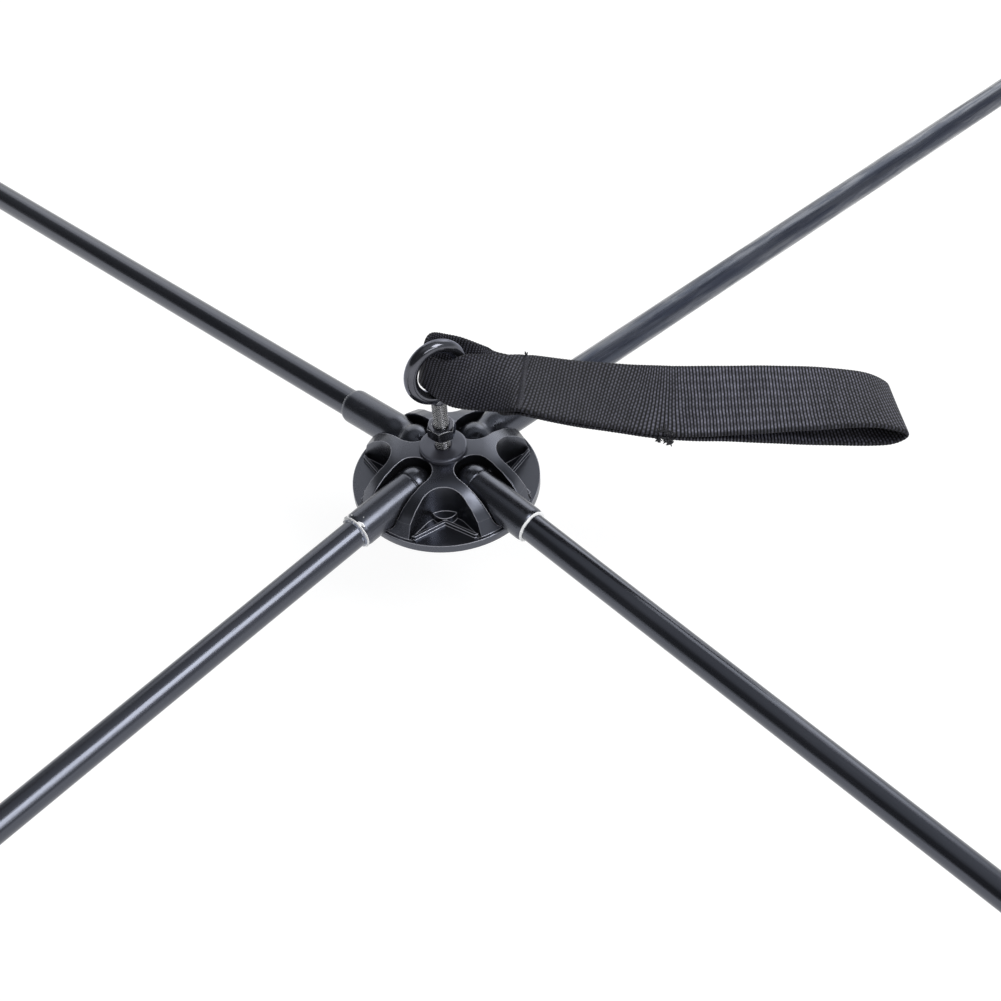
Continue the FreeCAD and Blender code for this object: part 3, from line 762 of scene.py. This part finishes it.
def smooth_eye_bolt():
    """Oval eye of round wire on a threaded shank."""
    count, sides = 144, 28
    centre = eye_point(0, 0)
    ring = []
    for k in range(count):
        around = 2 * math.pi * k / count
        middle = eye_point(EYE_HALF_WIDTH * math.cos(around), EYE_HALF_HEIGHT * math.sin(around))
        out = Vector((EYE_HALF_HEIGHT * math.cos(around), EYE_HALF_WIDTH * math.sin(around))).normalized()
        for j in range(sides):
            turn = 2 * math.pi * j / sides
            reach = EYE_WIRE * math.cos(turn)
            ring.append(middle + eye_point(out.x * reach, out.y * reach, EYE_WIRE * math.sin(turn)) - centre)
    neck = EYE_HEIGHT - EYE_HALF_HEIGHT
    thread_foot = BOLT_FOOT + 0.6
    root = BOLT_RADIUS - 0.38
    shank = softened([
        (BOLT_FOOT, 0.02), (BOLT_FOOT, root, 0.3), (neck - 2.6, root), (neck - 2.2, BOLT_RADIUS - 0.1, 0.3),
        (neck - 1.2, BOLT_RADIUS - 0.2, 0.6), (neck + 0.4, 2.3), (neck + 0.4, 0.02)])
    turn_steps = 40
    total = int((neck - 2.9 - BOLT_FOOT - 0.6) / THREAD_PITCH * turn_steps)
    thread = []
    for k in range(total + 1):
        angle = 2 * math.pi * k / turn_steps
        fade = min(1.0, k / 14, (total - k) / 14)
        for rise, reach in ((-0.40, -0.05), (-0.09, 0.38), (0.09, 0.38), (0.40, -0.05)):
            radius = root + (reach * fade if reach > 0 else reach)
            height = thread_foot + THREAD_PITCH * k / turn_steps + rise
            thread.append((radius * math.cos(angle), radius * math.sin(angle), height))
    points, faces = joined([
        (ring, skin(count, sides, closed=True, flip=True)), turned(shank, UPRIGHT, 72),
        (thread, skin(total + 1, 4))])
    piece = solid_piece("smooth_eye_bolt", points, faces, [EYE_STEEL], "hub", crease=30)
    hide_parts("eye_bolt")


# Webbing pull strap: a band through the near and far edges of its stations

FREE_LOOP = [
    ((85.5, -28, -11.8), (88.5, 9.8, -12.2), 1),
    ((103.5, -28.2, -11.5), (106.6, 9.8, -12.4), 0),
    ((118, -28.2, -11), (121.6, 9.7, -13), 0),
    ((138, -28.1, -10.3), (141, 9.5, -14.5), 0),
    ((152.3, -28, -9.9), (155.8, 9.2, -16.8), 0),
    ((161.4, -28, -10.4), (163.5, 9, -19.2), 0),
    ((168, -27.9, -12.6), (168, 8.6, -21.8), 0),
    ((171.9, -27.8, -15.6), (170, 8.2, -24.6), 0),
    ((167.6, -27.9, -19), (166, 8.6, -27.2), 0),
    ((158.5, -28, -19.5), (158, 9, -26.4), 0),
    ((140.2, -28.1, -18.2), (142, 9.5, -21.5), 0),
    ((121.9, -28.2, -16.2), (123.5, 9.7, -17.4), 0),
    ((103.6, -28.2, -14.2), (106.6, 9.8, -14.9), 0),
    ((85.5, -28, -11.8), (88.5, 9.8, -12.2), -1),
]
SEWN = [
    ((64.2, -27.5, -7.1), (68, 10.1, -10.3)),
    ((44.2, -26.3, -2.6), (46.2, 11.2, -7.6)),
    ((30.6, -23, -1), (33.8, 14, -7.4)),
]
EYE_LOOP = [
    ((24, -16.5, -7.8), (23.5, 13, -3.8), 0),
    ((18.5, -5.5, -11.8), (19.8, 12.8, -1), 0),
    ((14.5, 3.5, -13), (16.5, 12.7, 1.2), 0),
    ((8.5, 10, -11.8), (9.5, 13.3, 4.5), 0),
    ((3, 9.5, -9.8), (4, 13, 6.7), 0),
    ((-4.4, 6.2, -7.5), (-1.2, 10.6, 9.4), 0),
    ((-6.5, 2.2, -7), (-3.4, 5.2, 8.4), 0),
    ((-4, -1.6, -7.8), (-2.6, 1.4, 6.9), 0),
    ((2.5, -5.5, -11.3), (4.5, -1.6, 6.7), 0),
    ((7, -8.5, -11.2), (9.3, -0.2, 7.2), 0),
    ((12.4, -12.5, -8.6), (14.3, 4.5, 3.8), 0),
    ((23.6, -18.5, -4.3), (23.8, 9, -1.5), 0),
]
LOWER = [(near, far, -1) for near, far in SEWN]
UPPER = [(near, far, 1) for near, far in reversed(SEWN)]
STATIONS = LOWER + EYE_LOOP + UPPER + FREE_LOOP
TACKS = {"eye_end": (len(LOWER + EYE_LOOP), len(SEWN) - 1),
         "loop_end": (len(LOWER + EYE_LOOP) + len(SEWN), len(STATIONS) - 1)}


def smooth_round(values, spare=3):
    """Natural cubic through values that close on themselves; returns a function of place."""
    values = np.array(values[-spare:] + values + values[:spare + 1], float)
    count = len(values)
    matrix = np.zeros((count, count))
    right = np.zeros_like(values)
    matrix[0, 0] = matrix[-1, -1] = 1.0
    for k in range(1, count - 1):
        matrix[k, k - 1:k + 2] = (1.0, 4.0, 1.0)
        right[k] = 6.0 * (values[k + 1] - 2 * values[k] + values[k - 1])
    bend = np.linalg.solve(matrix, right)

    def at(place):
        k = min(max(int(math.floor(place + spare)), 0), count - 2)
        t = place + spare - k
        s = 1.0 - t
        return (s * values[k] + t * values[k + 1]
                + ((s ** 3 - s) * bend[k] + (t ** 3 - t) * bend[k + 1]) / 6.0)
    return at


def station_points():
    """The stations' near and far edges in the object's frame, each layer lifted or lowered by half a pitch."""
    rows = []
    for near, far, layer in STATIONS:
        lift = STRAP_HEIGHT + layer * LAYER_PITCH / 2
        rows.append([near[0], near[1], near[2] + lift, far[0], far[1], far[2] + lift])
    return rows


BAND = smooth_round(station_points())


def band_at(place):
    """Middle, half width, heading and face direction of the webbing at a place along it."""
    edges = BAND(place)
    ahead, behind = BAND(place + 0.02), BAND(place - 0.02)
    near, far = Vector(edges[:3]), Vector(edges[3:])
    onward = Vector(ahead[:3] + ahead[3:]) - Vector(behind[:3] + behind[3:])
    width = far - near
    face = onward.cross(width).normalized()
    return (near + far) / 2, width / 2, width.cross(face).normalized(), face


def band_places(spacing):
    """Places round the whole band at an even spacing along its middle, and the length up to each."""
    fine = [k / 40 for k in range(40 * len(STATIONS) + 1)]
    middles = [(BAND(p)[:3] + BAND(p)[3:]) / 2 for p in fine]
    lengths = np.concatenate([[0.0], np.cumsum([np.linalg.norm(b - a) for a, b in zip(middles, middles[1:])])])
    even = np.arange(0.0, lengths[-1] - spacing / 2, spacing)
    return np.interp(even, lengths, fine), even


def along_x(x, table):
    """A value read off a table by how far out along the strap it is."""
    return float(np.interp(x, [row[0] for row in table], [row[1] for row in table]))


# How far the weave leans, and how loose it is, by the distance out along the strap; looseness also deepens the
# painted shade between the ribs
SKEW = [(0, 0.25), (26, 0.25), (36, 0.11), (52, 0.09), (66, 0.14), (74, 0.15), (91, -0.06), (130, -0.065),
        (150, -0.12), (175, -0.15)]
SLACK = [(50, 0.0), (70, 0.2), (84, 0.55), (100, 1.0), (132, 1.0), (158, 0.45), (172, 0.2)]


def pull_strap():
    """The band with rounded selvages, pinched a little where the bar tacks pull its two layers together."""
    places, lengths = band_places(BAND_SPACING)
    tack_middles = [(band_at(p)[0], depth) for depth, pair in zip(TACK_PINCH, TACKS.values()) for p in pair]
    acrosses = [math.sin(math.pi / 2 * (-1 + 2 * k / 16)) for k in range(17)]
    points, uvs, slacks = [], [], []
    for place, length in zip(places, lengths):
        centre, half, heading, face = band_at(place)
        pinch = sum(depth * math.exp(-((centre - spot).length / 1.5) ** 2) for spot, depth in tack_middles)
        tooth = 1.0 + 0.10 * math.cos(2 * math.pi * length / RIB_PITCH) / half.length
        skew = along_x(centre.x, SKEW) * (1 if heading.x > 0 else -1)
        for side in (1, -1):
            for a in (acrosses if side > 0 else reversed(acrosses)):
                inset = (1 - abs(a)) * half.length
                round_off = math.sqrt(max(0.0, 1 - (1 - min(inset, 0.8) / 0.8) ** 2))
                thick = STRAP_THICKNESS / 2 * (0.25 + 0.75 * round_off)
                thick *= 1 - 0.4 * min(pinch, 1.0) * round_off
                ripple = 0.06 * math.sin(length / 3.1 + a * 2.0) * round_off
                points.append(centre + half * a * tooth + face * (side * thick + ripple))
                uvs.append(((length - half.length * a * skew) * MM, STRAP_WIDTH / 2 * a * MM))
                slacks.append(along_x(centre.x, SLACK))
    ring = 2 * len(acrosses)
    piece = solid_piece("pull_strap_webbing", points, skin(len(places), ring, closed=True), [WEBBING],
                        "strap")
    layer = piece.data.uv_layers.new(name="weave")
    loose = piece.data.uv_layers.new(name="slack")
    end = float(lengths[-1] + BAND_SPACING) * MM
    for polygon in piece.data.polygons:
        wraps = max(polygon.vertices) - min(polygon.vertices) > 2 * ring
        for index in polygon.loop_indices:
            vertex = piece.data.loops[index].vertex_index
            u, v = uvs[vertex]
            layer.data[index].uv = (u + end if wraps and vertex < ring else u, v)
            loose.data[index].uv = (slacks[vertex], 0.0)
    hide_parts("pull_strap")
    gathered(piece)


def gathered(piece):
    """Gives the piece its own copy of its mesh."""
    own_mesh(piece)


def bar_tack(place, outward, height):
    """A zigzag of thread across the webbing, lying on one face of it."""
    centre, half, heading, face = band_at(place)
    out = face * (1 if face.z * outward > 0 else -1)
    turns = 34
    low = STRAP_THICKNESS / 2 * 0.62 + height
    path = []
    for k in range(turns * 2 + 1):
        across = -0.92 + 1.84 * k / (turns * 2)
        swing = heading * (1.15 if k % 2 else -1.15)
        for shift in (-0.003, 0.003):
            path.append(centre + half * (across + shift) + swing + out * low)
        path.append(centre + half * (across + 0.013) + out * (low + 0.10))
    return tube(path, 0.16, 5)


def loose_thread(rng, start, way, length, curl, radius=0.16):
    """A short thread end that leaves start along way and curls."""
    path = [Vector(start)]
    way = Vector(way).normalized()
    turn = Vector((rng.uniform(-1, 1), rng.uniform(-1, 1), rng.uniform(-1, 1))).normalized() * curl
    steps = 9
    for k in range(steps):
        way = (way + turn * 0.28 + Vector([rng.uniform(-0.12, 0.12) for _ in range(3)])).normalized()
        path.append(path[-1] + way * (length / steps))
    return tube(path, [radius] * (steps - 1) + [radius * 0.8, radius * 0.4], 5)


def stitching():
    """Bar tacks on both faces at both ends of the seam, a tuft at one and a frayed clump at the other."""
    tacks, loose = [], []
    for height, (upper, lower) in zip(TACK_LIFT, TACKS.values()):
        tacks += [bar_tack(upper, 1, height), bar_tack(lower, -1, height)]
    rng = random.Random(11)
    centre, half, heading, face = band_at(TACKS["eye_end"][0])
    corner = centre + half * 0.975
    for way, length in (((-0.30, 0.5, 0.8), 2.0), ((0.05, 0.6, 0.75), 1.7), ((-0.12, 0.9, 0.4), 1.4)):
        loose.append(loose_thread(rng, corner, way, length, 0.7, 0.27))
    centre, half, heading, face = band_at(TACKS["loop_end"][0])
    outward, hang = -half.normalized(), Vector((0, -0.7, -0.7))
    for k in range(44):
        root = centre - half * rng.uniform(0.88, 1.0) + heading * rng.uniform(-5.4, 1.0)
        root += face * rng.uniform(0.5, 0.9)
        way = heading * rng.uniform(-1.0, 1.0) + outward * rng.uniform(-0.6, 1.0) + face * rng.uniform(0.0, 0.4)
        loose.append(loose_thread(rng, root, way, rng.uniform(1.2, 2.6), rng.uniform(1.2, 2.4), 0.2))
    # each hanging bunch: place along the seam, drop, spread, number of threads, their length
    bunches = ((-4.3, 1.2, 0.45, 16, 2.2), (-0.5, 1.9, 0.95, 44, 2.0), (-2.2, 1.3, 0.6, 12, 1.6))
    for along, drop, spread, count, length in bunches:
        spot = centre - half + heading * along + hang * drop
        for k in range(count):
            root = spot + Vector([rng.gauss(0, spread * 0.5) for _ in range(3)])
            way = hang * rng.uniform(-0.4, 1.0) + Vector([rng.uniform(-0.7, 0.7) for _ in range(3)])
            reach = length * rng.uniform(0.6, 1.0)
            loose.append(loose_thread(rng, root, way, reach, rng.uniform(1.2, 2.4), 0.24))
    points, faces = joined(tacks + loose)
    piece = solid_piece("strap_bar_tacks", points, faces, [THREAD, FRAYED], "strap")
    first = sum(len(sides) for more, sides in tacks)
    for polygon in piece.data.polygons[first:]:
        polygon.material_index = 1
    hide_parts("strap_stitching")
    gathered(piece)


for arm in ARMS:
    smooth_socket(arm)
    smooth_cap(arm)
ring_bead()
smeared_bead()
rounded_washer()
chamfered_nut()
smooth_eye_bolt()
pull_strap()
stitching()


# Floor, light and camera

def floor():
    """Pale floor that the camera and reflections see as white and that keeps a faint shadow."""
    low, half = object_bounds()[0].z, FLOOR_HALF * MM
    mesh = bpy.data.meshes.new("floor")
    mesh.from_pydata([(-half, -half, low), (half, -half, low), (half, half, low), (-half, half, low)], [],
                     [(0, 1, 2, 3)])
    piece = bpy.data.objects.new("floor", mesh)
    bpy.context.scene.collection.objects.link(piece)
    f = Finish("floor paper", shader="BsdfDiffuse", Color=(0.82, 0.82, 0.82, 1.0))
    seen = f.node("LightPath", out="Is Camera Ray")
    for other in ("Is Glossy Ray", "Is Transmission Ray"):
        seen = f.math("MAXIMUM", seen, f.node("LightPath", out=other))
    glow = f.node("Emission", None, {"Color": (1, 1, 1, 1), "Strength": FLOOR_GLOW})
    shade = f.node("BsdfDiffuse", None, {"Color": (0.24, 0.24, 0.24, 1)})
    lit = f.node("AddShader", None, {0: glow, 1: shade})
    mixed = f.node("MixShader", None, {"Fac": seen, 1: Number(f, f.shader.outputs[0]), 2: lit})
    f.tree.links.new(mixed.socket, f.end.inputs["Surface"])
    mesh.materials.append(f.material)
    piece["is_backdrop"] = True


def softbox(name, azimuth, elevation, distance, wide, high, level):
    """Rectangular lamp that faces the hub; level is its brightness, where 1 is white."""
    data = bpy.data.lights.new(name, "AREA")
    data.shape = "RECTANGLE"
    data.size, data.size_y = wide, high
    data.energy = level * math.pi * wide * high
    lamp = bpy.data.objects.new(name, data)
    azimuth, elevation = math.radians(azimuth), math.radians(elevation)
    way = Vector((math.sin(azimuth) * math.cos(elevation), math.cos(azimuth) * math.cos(elevation),
                  math.sin(elevation)))
    lamp.location = way * distance
    lamp.visible_camera = False
    lamp.rotation_mode = "QUATERNION"
    lamp.rotation_quaternion = way.to_track_quat("Z", "Y")
    bpy.context.scene.collection.objects.link(lamp)


def studio():
    """A room that is white low down, dim to the left and above, brighter to the right, and four softboxes."""
    world = bpy.data.worlds.new("studio")
    bpy.context.scene.world = world
    world.use_nodes = True
    f = Nodes(world.node_tree)
    x, y, z = f.parts(f.node("TexCoord", out="Generated"))
    level = (0.10 + f.step(x, -0.1, 0.75) * 0.42 + f.step(z, 0.72, 0.97) * 0.35
             + f.step(y, 0.2, 0.8) * f.step(z, 0.75, 0.4) * 0.30)
    room = f.mix(f.clamp(level), (0, 0, 0, 1), (0.93, 0.96, 1.0, 1))
    near_floor = f.step(z, 0.16, 0.02)
    mirrored = f.math("MAXIMUM", f.node("LightPath", out="Is Glossy Ray"),
                      f.node("LightPath", out="Is Transmission Ray"))
    seen = f.math("MAXIMUM", mirrored * near_floor, f.node("LightPath", out="Is Camera Ray"))
    dim = f.node("Background", None, {"Color": room, "Strength": 1.0})
    white = f.node("Background", None, {"Color": (1, 1, 1, 1), "Strength": 1.0})
    mixed = f.node("MixShader", None, {"Fac": seen, 1: dim, 2: white})
    end = f.tree.nodes.new("ShaderNodeOutputWorld")
    f.tree.links.new(mixed.socket, end.inputs["Surface"])
    softbox("back softbox", 3, 28, 2.0, 2.6, 1.5, 1.0)
    softbox("back right softbox", 28, 30, 1.9, 1.0, 1.1, 0.9)
    softbox("right softbox", 117, 53, 6.0, 2.8, 3.0, 7.0)
    softbox("front right softbox", 151, 34, 2.2, 1.5, 0.6, 3.2)


def photo_camera():
    """Where the photograph was taken from: place, right, up and back directions, and focal length."""
    data = bpy.data.cameras.new("camera")
    data.sensor_width = 36.0
    data.lens = 72.65
    data.clip_start, data.clip_end = 0.05, 200.0
    camera = bpy.data.objects.new("camera", data)
    right = Vector((0.99873, -0.0047, -0.05026))
    up = Vector((0.03807, 0.72394, 0.68882))
    turn = Matrix((right, up, right.cross(up))).transposed()
    camera.matrix_world = Matrix.Translation((0.047103, -0.552777, 0.568434)) @ turn.to_4x4()
    bpy.context.scene.collection.objects.link(camera)
    bpy.context.scene.camera = camera


floor()
studio()
photo_camera()
bpy.context.scene.view_settings.view_transform = "Standard"
